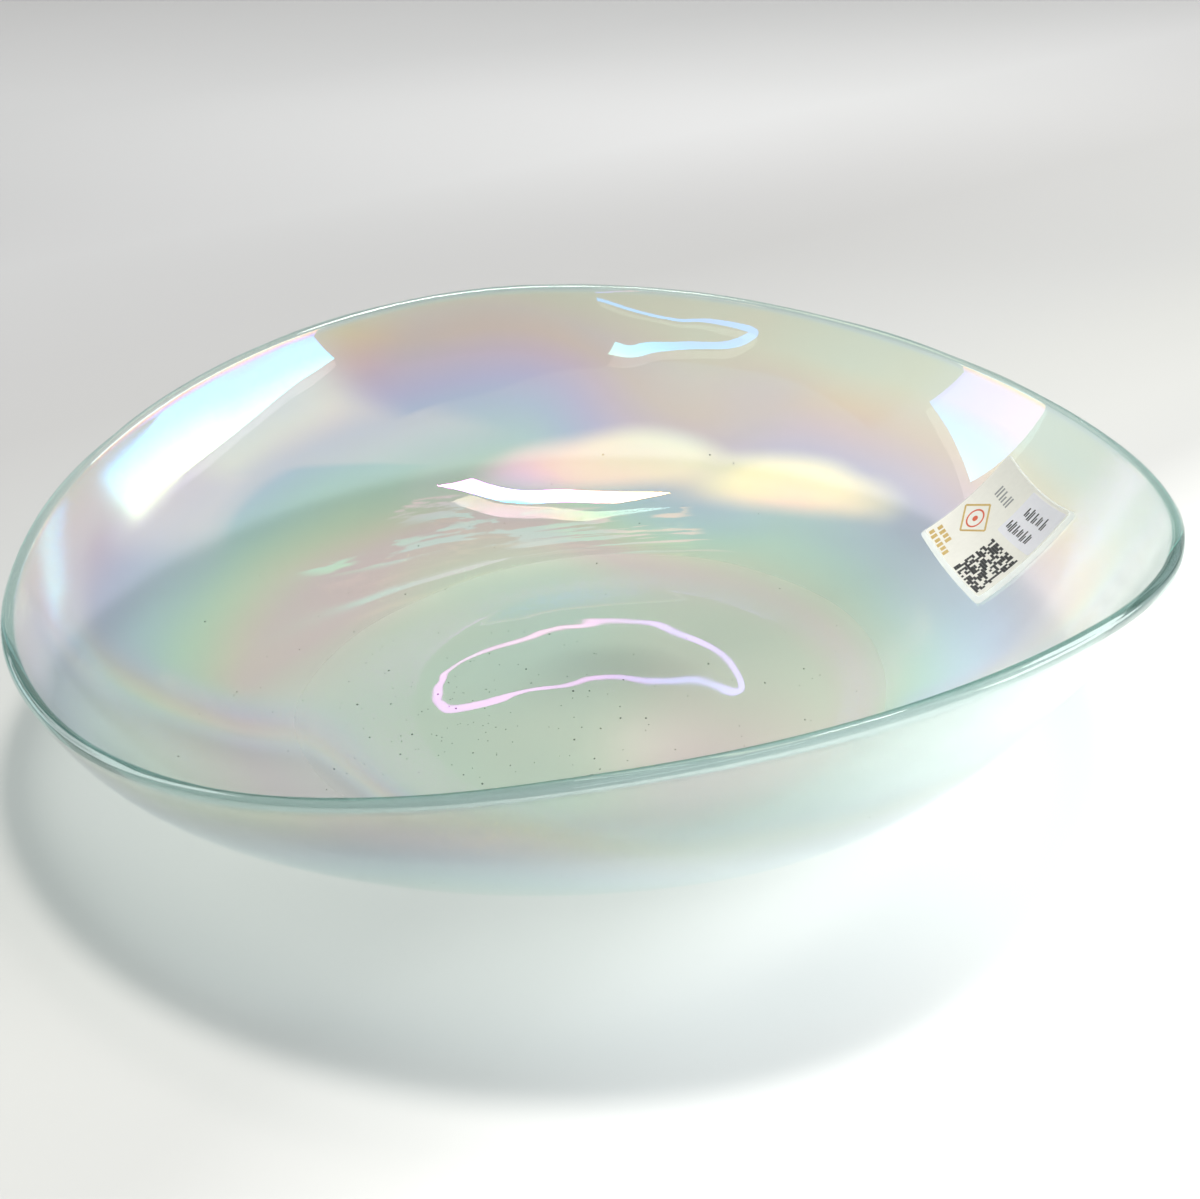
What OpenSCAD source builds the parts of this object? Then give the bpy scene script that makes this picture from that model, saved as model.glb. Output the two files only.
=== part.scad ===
// Free-form blown glass bowl with a curved adhesive label on its inner wall.
// Millimetres, +Z up. The origin is under the middle of the bowl's outline,
// on the plane of the flat ring that the bowl rests on.

/* [Rim outline] */
// Mean radius of the rim, measured from the middle of the base
rim_r = 113.7; // [100:0.1:125]
// How far the rim leans out towards +X
rim_lean_x = -2.9; // [-8:0.1:8]
// How far the rim leans out towards +Y
rim_lean_y = 10.1; // [-4:0.1:14]
// Oval stretch of the rim along X (negative stretches it along Y)
rim_oval_x = 0.6; // [-8:0.1:8]
// Oval stretch of the rim along the diagonal
rim_oval_d = 2.2; // [-8:0.1:8]
// Three-lobed part of the outline, on X
rim_lobe_x = -2.4; // [-5:0.1:5]
// Three-lobed part of the outline, on Y
rim_lobe_y = -0.2; // [-5:0.1:5]

/* [Rim height] */
// Mean height of the rim above the table
rim_h = 50.4; // [42:0.1:70]
// Rise of the rim towards +X
rim_tilt_x = 6.3; // [-8:0.1:8]
// Rise of the rim towards +Y
rim_tilt_y = -2.8; // [-8:0.1:8]
// Wave of the rim, up along X and down along Y
rim_wave_x = -4.7; // [-8:0.1:8]
// Wave of the rim, up along one diagonal and down along the other
rim_wave_d = -7.2; // [-9:0.1:9]

/* [Wall] */
// Glass thickness at the fire-polished rim
wall_rim = 2.6; // [2:0.1:4]
// Glass thickness at the floor
wall_base = 4.2; // [3:0.1:6]
// How far the floor runs out level before the side turns up
belly = 0.52; // [0.4:0.01:0.6]
// Change of the belly towards +Y
belly_y = 0.03; // [-0.05:0.01:0.05]
// Slope of the side just below the rim, from the horizontal, in degrees
rim_slope = 69.3; // [60:0.1:78]
// Change of that slope towards +X
rim_slope_x = -2.7; // [-5:0.1:5]
// Change of that slope towards +Y
rim_slope_y = -2.3; // [-5:0.1:5]

/* [Base] */
// Mean outer radius of the flat ring that the bowl rests on
base_r = 41.9; // [36:0.1:48]
// Shift of the ring's outer edge towards +X
base_shift_x = 2.1; // [-4:0.1:4]
// Shift of the ring's outer edge towards +Y
base_shift_y = 1.6; // [-4:0.1:4]
// Radius of the shallow hollow in the middle of the underside
kick_r = 26; // [18:0.5:30]
// Depth of the hollow: its middle's height above the table
kick_h = 1.6; // [0.8:0.1:2.2]

/* [Label] */
// Label width, along its lines of print
label_w = 34; // [24:0.5:38]
// Label height
label_h = 27; // [18:0.5:30]
// Corner radius of the clear film
label_corner = 1.2; // [0.6:0.1:2.5]
// Place of the label's middle on the inner wall, along X from the base's middle
label_x = 86.4; // [78:0.1:90]
// Place of the label's middle, along Y from the base's middle
label_y = 38.2; // [30:0.1:44]
// Turn of the label's lines of print, seen from above, in degrees
label_turn = -78.2; // [-95:0.1:-60]
// Thickness of the clear adhesive film
film_t = 0.12; // [0.08:0.01:0.2]
// Thickness of the printed panel and of the strip
panel_t = 0.1; // [0.08:0.01:0.2]

/* [Hidden] */

// Steps round the bowl, and up its side
n_round = 84;
n_side = 17;
// Half-steps over the rounded lip
n_lip = 4;
// Rings over the hollow under the base
n_kick = 4;
// Gap between the glass and the film: the chords of the glass facets are
// up to 0.2 mm inside its true curve
film_gap = 0.3;
// Gap between layers of the label
layer_gap = 0.03;

// Harmonic series round the bowl: mean, then cos and sin of 1, 2 and 3 turns
function harm(c, a) = c[0] + c[1]*cos(a) + c[2]*sin(a)
    + c[3]*cos(2*a) + c[4]*sin(2*a) + c[5]*cos(3*a) + c[6]*sin(3*a);

RIM_R = [rim_r, rim_lean_x, rim_lean_y, rim_oval_x, rim_oval_d, rim_lobe_x, rim_lobe_y];
RIM_Z = [rim_h, rim_tilt_x, rim_tilt_y, rim_wave_x, rim_wave_d, 0, 0];
BASE_R = [base_r, base_shift_x, base_shift_y, 0, 0, 0, 0];
BELLY = [belly, 0, belly_y, 0, 0, 0, 0];
SLOPE = [rim_slope, rim_slope_x, rim_slope_y, 0, 0, 0, 0];

// The side's outer profile at angle a: four control points of a cubic curve,
// as [distance from the base's middle, height]
function controls(a) =
    let (R = harm(RIM_R, a), Z = harm(RIM_Z, a), B = harm(BASE_R, a),
         k = harm(BELLY, a), s = harm(SLOPE, a),
         reach = 0.33*norm([R - B, Z]))
    [[B, 0], [B + k*(R - B), 0], [R - reach*cos(s), Z - reach*sin(s)], [R, Z]];

function curve(p, t) = pow(1 - t, 3)*p[0] + 3*pow(1 - t, 2)*t*p[1]
    + 3*(1 - t)*t*t*p[2] + pow(t, 3)*p[3];
function slope_of(p, t) = 3*pow(1 - t, 2)*(p[1] - p[0])
    + 6*(1 - t)*t*(p[2] - p[1]) + 3*t*t*(p[3] - p[2]);
function unit(v) = v/norm(v);
// Direction from the outer face into the bowl
function inward(p, t) = let (d = unit(slope_of(p, t))) [-d[1], d[0]];

// Glass thickness up the side: floor thickness at t = 0, rim thickness at t = 1
function wall(t) = wall_rim + (wall_base - wall_rim)*(1 - t)*(1 - t)*(1 + 2*t);
// The side stops half a wall short of the rim height, and the lip fills the rest
function t_top(p) = 1 - wall_rim/2/norm(slope_of(p, 1));

function outer_pt(p, t) = curve(p, t);
function inner_pt(p, t) = curve(p, t) + wall(t)*inward(p, t);

// Height of the underside at distance r from the middle of its hollow
function kick(r) = r >= kick_r ? 0 : kick_h*pow(1 - pow(r/kick_r, 2), 2);

// One radial section of the glass, as a list of [distance, height]: from the
// middle of the underside out, up the outer face, over the lip, down the inner
// face to the edge of the flat floor. The middle points of the underside and
// of the floor are left out, because every section shares them.
function section(a) =
    let (p = controls(a), tt = t_top(p), w = wall(tt),
         n = inward(p, tt), d = unit(slope_of(p, tt)),
         c = curve(p, tt) + w/2*n)
    concat(
        [for (j = [1:n_kick]) let (r = kick_r*j/n_kick) [r, kick(r)]],
        [for (j = [0:n_side]) outer_pt(p, tt*j/n_side)],
        [for (j = [1:2*n_lip - 1]) let (q = 180*j/(2*n_lip))
            c - w/2*cos(q)*n + w/2*sin(q)*d],
        [for (j = [n_side:-1:0]) inner_pt(p, tt*j/n_side)]);

SECTIONS = [for (i = [0:n_round - 1]) section(360*i/n_round)];
RINGS = len(SECTIONS[0]);

// Middle of the bowl's outline seen from above
XS = [for (i = [0:n_round - 1], q = SECTIONS[i]) q[0]*cos(360*i/n_round)];
YS = [for (i = [0:n_round - 1], q = SECTIONS[i]) q[0]*sin(360*i/n_round)];
MID = [(max(XS) + min(XS))/2, (max(YS) + min(YS))/2, 0];

function glass_points() = concat(
    [[0, 0, kick(0)]],
    [for (i = [0:n_round - 1], q = SECTIONS[i])
        [q[0]*cos(360*i/n_round), q[0]*sin(360*i/n_round), q[1]]],
    [[0, 0, wall_base]]);

function glass_faces() =
    let (last = n_round*RINGS + 1)
    concat(
        [for (i = [0:n_round - 1]) let (k = (i + 1)%n_round)
            [0, 1 + i*RINGS, 1 + k*RINGS]],
        [for (i = [0:n_round - 1], j = [0:RINGS - 2]) let (k = (i + 1)%n_round)
            [1 + i*RINGS + j, 1 + i*RINGS + j + 1, 1 + k*RINGS + j + 1]],
        [for (i = [0:n_round - 1], j = [0:RINGS - 2]) let (k = (i + 1)%n_round)
            [1 + i*RINGS + j, 1 + k*RINGS + j + 1, 1 + k*RINGS + j]],
        [for (i = [0:n_round - 1]) let (k = (i + 1)%n_round)
            [last, (k + 1)*RINGS, (i + 1)*RINGS]]);

// Height of the inner face over a point of the plan, found by halving the
// range of t until the inner face is at that distance from the middle
function find_t(p, r, lo, hi, n) = n == 0 ? (lo + hi)/2
    : let (m = (lo + hi)/2)
      inner_pt(p, m)[0] > r ? find_t(p, r, lo, m, n - 1) : find_t(p, r, m, hi, n - 1);
function inner_z(x, y) =
    let (p = controls(atan2(y, x)))
    inner_pt(p, find_t(p, norm([x, y]), 0.02, 1.02, 24))[1];

// The label's own frame: its middle on the glass, the way its print runs, the
// way up its lines, and the glass's normal there
LZ = inner_z(label_x, label_y);
LN = unit([
    -(inner_z(label_x + 0.5, label_y) - inner_z(label_x - 0.5, label_y)),
    -(inner_z(label_x, label_y + 0.5) - inner_z(label_x, label_y - 0.5)), 1]);
LA = [cos(label_turn), sin(label_turn), 0];
LU = unit(LA - (LA*LN)*LN);
LV = cross(LN, LU);
LC = [label_x, label_y, LZ];

// A point of the label: u along the print, v up the lines, off the glass by o
function label_pt(u, v, o) =
    let (q = LC + u*LU + v*LV)
    [q[0], q[1], inner_z(q[0], q[1])] + o*LN;

// Half-width of a rounded rectangle w by h at height v
function half_w(w, h, c, v) =
    let (e = abs(v) - (h/2 - c))
    e <= 0 ? w/2 : w/2 - c + sqrt(max(0, c*c - e*e));

// Rows of a rounded rectangle of height h: the straight part, then the corners
function rows(h, c, n) = concat(
    [for (k = [0:3]) -h/2 + c - c*cos(90*k/3)],
    [for (k = [1:n - 1]) -h/2 + c + (h - 2*c)*k/n],
    [for (k = [3:-1:0]) h/2 - c + c*cos(90*k/3)]);

// A thin sheet that follows the glass: w by h, corner radius c, middle at
// [mu, mv] of the label, lower face at o and upper face at o + t off the glass
module layer(w, h, c, mu, mv, o, t, nu = 12, nv = 8) {
    vs = rows(h, c, nv);
    nr = len(vs);
    pts = [for (o2 = [o, o + t], v = vs, i = [0:nu])
        let (hw = half_w(w, h, c, v))
        label_pt(mu - hw + 2*hw*i/nu, mv + v, o2)];
    m = nr*(nu + 1);
    faces = concat(
        [for (j = [0:nr - 2], i = [0:nu - 1]) let (a = j*(nu + 1) + i)
            each [[a, a + nu + 1, a + nu + 2], [a, a + nu + 2, a + 1]]],
        [for (j = [0:nr - 2], i = [0:nu - 1]) let (a = m + j*(nu + 1) + i)
            each [[a, a + nu + 2, a + nu + 1], [a, a + 1, a + nu + 2]]],
        [for (i = [0:nu - 1]) let (a = i)
            each [[a, a + 1, a + m + 1], [a, a + m + 1, a + m]]],
        [for (i = [0:nu - 1]) let (a = (nr - 1)*(nu + 1) + i)
            each [[a, a + m, a + m + 1], [a, a + m + 1, a + 1]]],
        [for (j = [0:nr - 2]) let (a = j*(nu + 1))
            each [[a, a + m, a + m + nu + 1], [a, a + m + nu + 1, a + nu + 1]]],
        [for (j = [0:nr - 2]) let (a = j*(nu + 1) + nu)
            each [[a, a + nu + 1, a + m + nu + 1], [a, a + m + nu + 1, a + m]]]);
    polyhedron(points = pts, faces = faces, convexity = 4);
}

// The bowl: one continuous piece of glass
module glass_bowl() color([0.86, 0.93, 0.92, 0.45])
    translate(-MID) polyhedron(points = glass_points(), faces = glass_faces(), convexity = 8);

// Clear adhesive film, the whole size of the label
module label_film() color([0.93, 0.94, 0.92, 0.6])
    translate(-MID) layer(label_w, label_h, label_corner, 0, 0, film_gap, film_t);

// Cream printed panel, which leaves a clear margin of film on two sides
PANEL_O = film_gap + film_t + layer_gap;
module label_panel() color([0.94, 0.92, 0.85])
    translate(-MID) layer(label_w*0.92, label_h*0.93, 0.8,
        -label_w*0.04 + 0.3, label_h*0.035 - 0.3, PANEL_O, panel_t);

// White strip over the panel for the lines of numbers
STRIP_O = PANEL_O + panel_t + layer_gap;
module label_serial_strip() color([0.97, 0.97, 0.98])
    translate(-MID) layer(label_w*0.46, label_h*0.38, 0.5,
        label_w*0.19, label_h*0.275, STRIP_O, panel_t, 8, 4);

glass_bowl();
label_film();
label_panel();
label_serial_strip();
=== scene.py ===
import math
import bpy
import numpy as np
from mathutils import Matrix, Vector


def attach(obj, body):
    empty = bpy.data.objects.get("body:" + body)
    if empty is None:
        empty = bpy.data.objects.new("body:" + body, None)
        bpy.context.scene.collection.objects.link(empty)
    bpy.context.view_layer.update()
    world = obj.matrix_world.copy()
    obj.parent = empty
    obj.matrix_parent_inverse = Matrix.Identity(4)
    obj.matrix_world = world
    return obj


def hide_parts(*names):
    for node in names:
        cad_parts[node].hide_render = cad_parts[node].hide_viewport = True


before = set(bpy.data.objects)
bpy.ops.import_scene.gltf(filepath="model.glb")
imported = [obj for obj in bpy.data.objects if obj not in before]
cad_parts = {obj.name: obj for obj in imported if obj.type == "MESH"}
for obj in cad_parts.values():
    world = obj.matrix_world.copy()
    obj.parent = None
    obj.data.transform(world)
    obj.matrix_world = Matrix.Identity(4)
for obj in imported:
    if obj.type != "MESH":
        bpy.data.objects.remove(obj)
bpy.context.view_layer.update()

MM = 0.001
SC = bpy.context.scene
COL = SC.collection

# ------------------------------------------------------------------ the bowl's form, in mm, as the CAD has it
RIM_R = [113.7, -2.9, 10.1, 0.6, 2.2, -2.4, -0.2]
RIM_Z = [50.4, 6.3, -2.8, -4.7, -7.2, 0, 0]
BASE_R = [41.9, 2.1, 1.6, 0, 0, 0, 0]
BELLY = [0.52, 0, 0.03, 0, 0, 0, 0]
SLOPE = [69.3, -2.7, -2.3, 0, 0, 0, 0]
WALL_RIM, WALL_BASE = 2.6, 4.2
KICK_R, KICK_H = 26.0, 1.6            # the hollow in the middle of the underside


def harm(c, a):
    return (c[0] + c[1] * np.cos(a) + c[2] * np.sin(a) + c[3] * np.cos(2 * a)
            + c[4] * np.sin(2 * a) + c[5] * np.cos(3 * a) + c[6] * np.sin(3 * a))


def controls(a):
    R, Z, B, k = harm(RIM_R, a), harm(RIM_Z, a), harm(BASE_R, a), harm(BELLY, a)
    s = np.radians(harm(SLOPE, a))
    L = 0.33 * np.hypot(R - B, Z)
    return [(B, 0 * B), (B + k * (R - B), 0 * B), (R - L * np.cos(s), Z - L * np.sin(s)), (R, Z)]


def curve(p, t):
    b = [(1 - t) ** 3, 3 * (1 - t) ** 2 * t, 3 * (1 - t) * t * t, t ** 3]
    return sum(b[i] * p[i][0] for i in range(4)), sum(b[i] * p[i][1] for i in range(4))


def dcurve(p, t):
    b = [3 * (1 - t) ** 2, 6 * (1 - t) * t, 3 * t * t]
    return (sum(b[i] * (p[i + 1][0] - p[i][0]) for i in range(3)),
            sum(b[i] * (p[i + 1][1] - p[i][1]) for i in range(3)))


def wall(t):
    return WALL_RIM + (WALL_BASE - WALL_RIM) * (1 - t) ** 2 * (1 + 2 * t)


def kick(r):
    return np.where(r < KICK_R, KICK_H * (1 - (r / KICK_R) ** 2) ** 2, 0.0)


def t_top(p):
    return 1 - WALL_RIM / 2 / np.hypot(*dcurve(p, 1.0))


def frame_at(p, t):
    r, z = curve(p, t)
    dr, dz = dcurve(p, t)
    L = np.hypot(dr, dz)
    return r, z, dr / L, dz / L


def inner_pt(a, t):
    p = controls(a)
    r, z, dr, dz = frame_at(p, t)
    w = wall(t)
    return r - dz * w, z + dr * w


def outer_pt(a, t):
    return curve(controls(a), t)


def section(a, n_side=72, n_lip=10, n_kick=14):
    """The glass's radial section at angles a: rows of (r, z) from the middle of the underside, round the lip, to the middle of the floor."""
    p = controls(a)
    tt = t_top(p)
    rows = []
    B = p[0][0]
    for j in range(1, n_kick + 1):
        r = KICK_R * j / n_kick + 0 * a
        rows.append((r, kick(r)))
    for j in range(1, 5):
        r = KICK_R + (B - KICK_R) * j / 5
        rows.append((r, 0 * r))
    for j in range(n_side + 1):
        rows.append(curve(p, tt * j / n_side))
    r1, z1, dr, dz = frame_at(p, tt)
    w = wall(tt)
    n = (-dz, dr)
    c = (r1 + w / 2 * n[0], z1 + w / 2 * n[1])
    for j in range(1, 2 * n_lip):
        q = math.pi * j / (2 * n_lip)
        rows.append((c[0] - w / 2 * math.cos(q) * n[0] + w / 2 * math.sin(q) * dr,
                     c[1] - w / 2 * math.cos(q) * n[1] + w / 2 * math.sin(q) * dz))
    for j in range(n_side, -1, -1):
        t = tt * j / n_side
        r, z, dr, dz = frame_at(p, t)
        rows.append((r - dz * wall(t), z + dr * wall(t)))
    for j in range(4, 0, -1):
        r = KICK_R + (B - KICK_R) * j / 5
        rows.append((r, WALL_BASE + 0 * r))
    for j in range(n_kick, 0, -1):
        r = KICK_R * j / n_kick + 0 * a
        rows.append((r, WALL_BASE + 0 * r))
    return rows


def outline_mid():
    a = np.linspace(0, 2 * math.pi, 85)[:-1]
    r = np.max(np.stack([q[0] for q in section(a, 17, 4, 4)]), 0)
    x, y = r * np.cos(a), r * np.sin(a)
    return (x.max() + x.min()) / 2, (y.max() + y.min()) / 2


MX, MY = outline_mid()


def to_m(x, y, z):
    """Millimetres from the base's middle to metres in the row frame."""
    return np.stack([(x - MX) * MM, (y - MY) * MM, z * MM], -1)


# label place, as the CAD has it
LAB_W, LAB_H, LAB_C = 34.0, 27.0, 1.2
LAB_X, LAB_Y, LAB_TURN = 86.4, 38.2, math.radians(-78.2)
GAP, FILM_T, PANEL_T, LAYER = 0.3, 0.12, 0.1, 0.03


def ripple(x, y, z):
    """Slow hand-blown unevenness of the glass, in mm along its normal; it fades out at the base ring and under the label."""
    s = 0.0
    for kx, ky, kz, ph, amp in ((0.071, 0.043, 0.05, 0.4, 0.11), (-0.052, 0.088, 0.09, 1.9, 0.09), (0.118, -0.069, 0.13, 3.1, 0.05),
                                (0.031, 0.142, -0.08, 5.2, 0.045), (-0.163, -0.098, 0.2, 0.9, 0.02), (0.21, 0.12, -0.25, 2.2, 0.012)):
        s = s + amp * np.sin(kx * x + ky * y + kz * z + ph)
    r = np.hypot(x, y)
    foot = np.clip((r - 44) / 26, 0, 1)
    foot = foot * foot * (3 - 2 * foot)
    lab = np.clip((np.hypot(x - LAB_X, y - LAB_Y) - 21) / 16, 0, 1)
    return s * (0.12 + 0.88 * foot) * (0.25 + 0.75 * lab)


def new_mesh(name, verts, faces, smooth=True, uvs=None):
    me = bpy.data.meshes.new(name)
    me.from_pydata([tuple(v) for v in verts], [], faces)
    me.validate()
    me.polygons.foreach_set("use_smooth", [smooth] * len(me.polygons))
    if uvs is not None:
        layer = me.uv_layers.new(name="UVMap")
        idx = np.empty(len(me.loops), np.int32)
        me.loops.foreach_get("vertex_index", idx)
        layer.data.foreach_set("uv", np.asarray(uvs, np.float32)[idx].ravel())
    me.update()
    ob = bpy.data.objects.new(name, me)
    COL.objects.link(ob)
    return ob


def make_bowl():
    NA = 288
    a = np.linspace(0, 2 * math.pi, NA + 1)[:-1]
    rows = section(a)
    n = len(rows)
    r = np.stack([q[0] + 0 * a for q in rows])
    z = np.stack([q[1] + 0 * a for q in rows])
    # outward normal of the section, for the ripple
    dr, dz = np.gradient(r, axis=0), np.gradient(z, axis=0)
    L = np.hypot(dr, dz) + 1e-9
    nr, nz = dz / L, -dr / L
    x, y = r * np.cos(a), r * np.sin(a)
    s = ripple(x, y, z)
    half = (np.arange(n)[:, None] > n / 2)
    s = np.where(half, -s, s)            # both faces move the same way in space
    s = np.where(z < 0.01, 0, s)         # the ring stays flat
    r2, z2 = r + nr * s, z + nz * s
    P = to_m(r2 * np.cos(a), r2 * np.sin(a), z2)        # rows x NA x 3
    verts = [to_m(np.array(0.0), np.array(0.0), np.array(float(kick(np.array(0.0)))))]
    verts = np.concatenate([np.array(verts), P.reshape(-1, 3),
                            [to_m(np.array(0.0), np.array(0.0), np.array(WALL_BASE))]])
    faces = []
    for i in range(NA):
        k = (i + 1) % NA
        faces.append((0, 1 + k, 1 + i))
        last = len(verts) - 1
        b = 1 + (n - 1) * NA
        faces.append((last, b + i, b + k))
    for j in range(n - 1):
        for i in range(NA):
            k = (i + 1) % NA
            faces.append((1 + j * NA + i, 1 + j * NA + k, 1 + (j + 1) * NA + k, 1 + (j + 1) * NA + i))
    ob = new_mesh("bowl_glass", verts, faces)
    n_kick, n_side, n_lip = 14, 72, 10
    side = [0.0] * (n_kick + 4) + [j / n_side for j in range(n_side + 1)] + [1.0] * (2 * n_lip - 1)
    side += [j / n_side for j in range(n_side, -1, -1)] + [0.0] * (4 + n_kick)
    ring = [0.0] * (n_kick + 4 + n_side) + [0.4] + [1.0] * (2 * n_lip - 1) + [0.4] + [0.0] * (n_side + 4 + n_kick)
    assert len(side) == n and len(ring) == n
    coat = [0.0] * (n_kick + 4 + n_side + 1) + [0.0] * (2 * n_lip - 1) + [1.0] * (n_side + 1 + 4 + n_kick)
    assert len(coat) == n
    # the green of the edge gathers in the inner third of the lip
    green = [0.0] * (n_kick + 4 + n_side + 1) + [min(1.0, max(0.0, (j / (2 * n_lip) - 0.42) / 0.22)) for j in range(1, 2 * n_lip)] + [0.5] + [0.0] * (n_side + 4 + n_kick)
    assert len(green) == n
    for name, row in (("side", side), ("lip", ring), ("coat", coat), ("green", green)):
        at = ob.data.attributes.new(name, "FLOAT", "POINT")
        at.data.foreach_set("value", np.concatenate([[row[0]], np.repeat(np.array(row, np.float32), NA), [row[-1]]]).astype(np.float32))
    return ob


# ------------------------------------------------------------------ label surface
def inner_z(x, y):
    x, y = np.asarray(x, float), np.asarray(y, float)
    a, r = np.arctan2(y, x), np.hypot(x, y)
    lo, hi = np.full_like(r, 0.02), np.full_like(r, 1.02)
    for _ in range(30):
        m = (lo + hi) / 2
        big = inner_pt(a, m)[0] > r
        hi = np.where(big, m, hi)
        lo = np.where(big, lo, m)
    return inner_pt(a, (lo + hi) / 2)[1]


_g = 0.5
_zz = inner_z([LAB_X + _g, LAB_X - _g, LAB_X, LAB_X], [LAB_Y, LAB_Y, LAB_Y + _g, LAB_Y - _g])
LN = np.array([-(_zz[0] - _zz[1]), -(_zz[2] - _zz[3]), 1.0])
LN /= np.linalg.norm(LN)
_la = np.array([math.cos(LAB_TURN), math.sin(LAB_TURN), 0])
LU = _la - (_la @ LN) * LN
LU /= np.linalg.norm(LU)
LV = np.cross(LN, LU)
LC = np.array([LAB_X, LAB_Y, float(inner_z(LAB_X, LAB_Y))])


def label_pt(u, v, o):
    u, v, o = np.broadcast_arrays(np.asarray(u, float), np.asarray(v, float), np.asarray(o, float))
    q = LC + u[..., None] * LU + v[..., None] * LV
    z = inner_z(q[..., 0], q[..., 1])
    p = np.stack([q[..., 0], q[..., 1], z], -1) + o[..., None] * LN
    return to_m(p[..., 0], p[..., 1], p[..., 2])


def sheet(name, w, h, c, mu, mv, o, t, nu=40, nv=30):
    """A thin closed sheet with round corners that follows the inner wall. UVs run 0..1 over the whole label."""
    vs = [-h / 2 + c - c * math.cos(math.pi / 2 * k / 6) for k in range(7)]
    vs += [-h / 2 + c + (h - 2 * c) * k / nv for k in range(1, nv)]
    vs += [h / 2 - c + c * math.cos(math.pi / 2 * k / 6) for k in range(6, -1, -1)]
    vs = np.array(vs)
    e = np.abs(vs) - (h / 2 - c)
    hw = np.where(e <= 0, w / 2, w / 2 - c + np.sqrt(np.maximum(0, c * c - e * e)))
    s = np.linspace(-1, 1, nu + 1)
    U, V = mu + hw[:, None] * s, mv + np.repeat(vs[:, None], nu + 1, 1)
    bot, top = label_pt(U, V, o), label_pt(U, V, o + t)
    nr = len(vs)
    m = nr * (nu + 1)
    verts = np.concatenate([bot.reshape(-1, 3), top.reshape(-1, 3)])
    uv = np.stack([(U / LAB_W + 0.5).ravel(), (V / LAB_H + 0.5).ravel()], -1)
    uv = np.concatenate([uv, uv])
    f = []
    for j in range(nr - 1):
        for i in range(nu):
            a = j * (nu + 1) + i
            f.append((a, a + nu + 1, a + nu + 2, a + 1))
            b = a + m
            f.append((b, b + 1, b + nu + 2, b + nu + 1))
    for i in range(nu):
        f.append((i, i + 1, i + 1 + m, i + m))
        a = (nr - 1) * (nu + 1) + i
        f.append((a + 1, a, a + m, a + m + 1))
    for j in range(nr - 1):
        a = j * (nu + 1)
        f.append((a + nu + 1, a, a + m, a + m + nu + 1))
        a += nu
        f.append((a, a + nu + 1, a + m + nu + 1, a + m))
    return new_mesh(name, verts, f, smooth=False, uvs=uv)


# ------------------------------------------------------------------ node helpers
class NT:
    def __init__(self, mat):
        mat.use_nodes = True
        self.t = mat.node_tree
        self.t.nodes.clear()

    def n(self, kind, **kw):
        node = self.t.nodes.new(kind)
        for k, v in kw.items():
            if k == "inputs":
                for kk, vv in v.items():
                    if isinstance(vv, bpy.types.NodeSocket):
                        self.t.links.new(vv, node.inputs[kk])
                    else:
                        node.inputs[kk].default_value = vv
            else:
                setattr(node, k, v)
        return node

    def link(self, a, b):
        self.t.links.new(a, b)

    def math(self, op, a, b=None, c=None, clamp=False):
        node = self.t.nodes.new("ShaderNodeMath")
        node.operation = op
        node.use_clamp = clamp
        for i, v in enumerate((a, b, c)):
            if v is None:
                continue
            if isinstance(v, bpy.types.NodeSocket):
                self.t.links.new(v, node.inputs[i])
            else:
                node.inputs[i].default_value = v
        return node.outputs[0]

    def smooth(self, x, lo, hi, a=0.0, b=1.0):
        node = self.t.nodes.new("ShaderNodeMapRange")
        node.interpolation_type = "SMOOTHSTEP"
        self.t.links.new(x, node.inputs["Value"])
        for key, val in (("From Min", lo), ("From Max", hi), ("To Min", a), ("To Max", b)):
            node.inputs[key].default_value = val
        return node.outputs["Result"]

    def ramp(self, fac, stops, interp="LINEAR"):
        node = self.t.nodes.new("ShaderNodeValToRGB")
        node.color_ramp.interpolation = interp
        el = node.color_ramp.elements
        while len(el) > 1:
            el.remove(el[-1])
        el[0].position, el[0].color = stops[0][0], (*stops[0][1], 1.0)
        for pos, col in stops[1:]:
            e = el.new(pos)
            e.color = (*col, 1.0)
        self.t.links.new(fac, node.inputs[0])
        return node.outputs[0]

    def mix(self, fac, a, b, blend="MIX"):
        node = self.t.nodes.new("ShaderNodeMix")
        node.data_type = "RGBA"
        node.blend_type = blend
        for i, v in ((0, fac), (6, a), (7, b)):
            if isinstance(v, bpy.types.NodeSocket):
                self.t.links.new(v, node.inputs[i])
            else:
                node.inputs[i].default_value = v if i == 0 else (*v, 1.0)
        return node.outputs[2]


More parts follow.
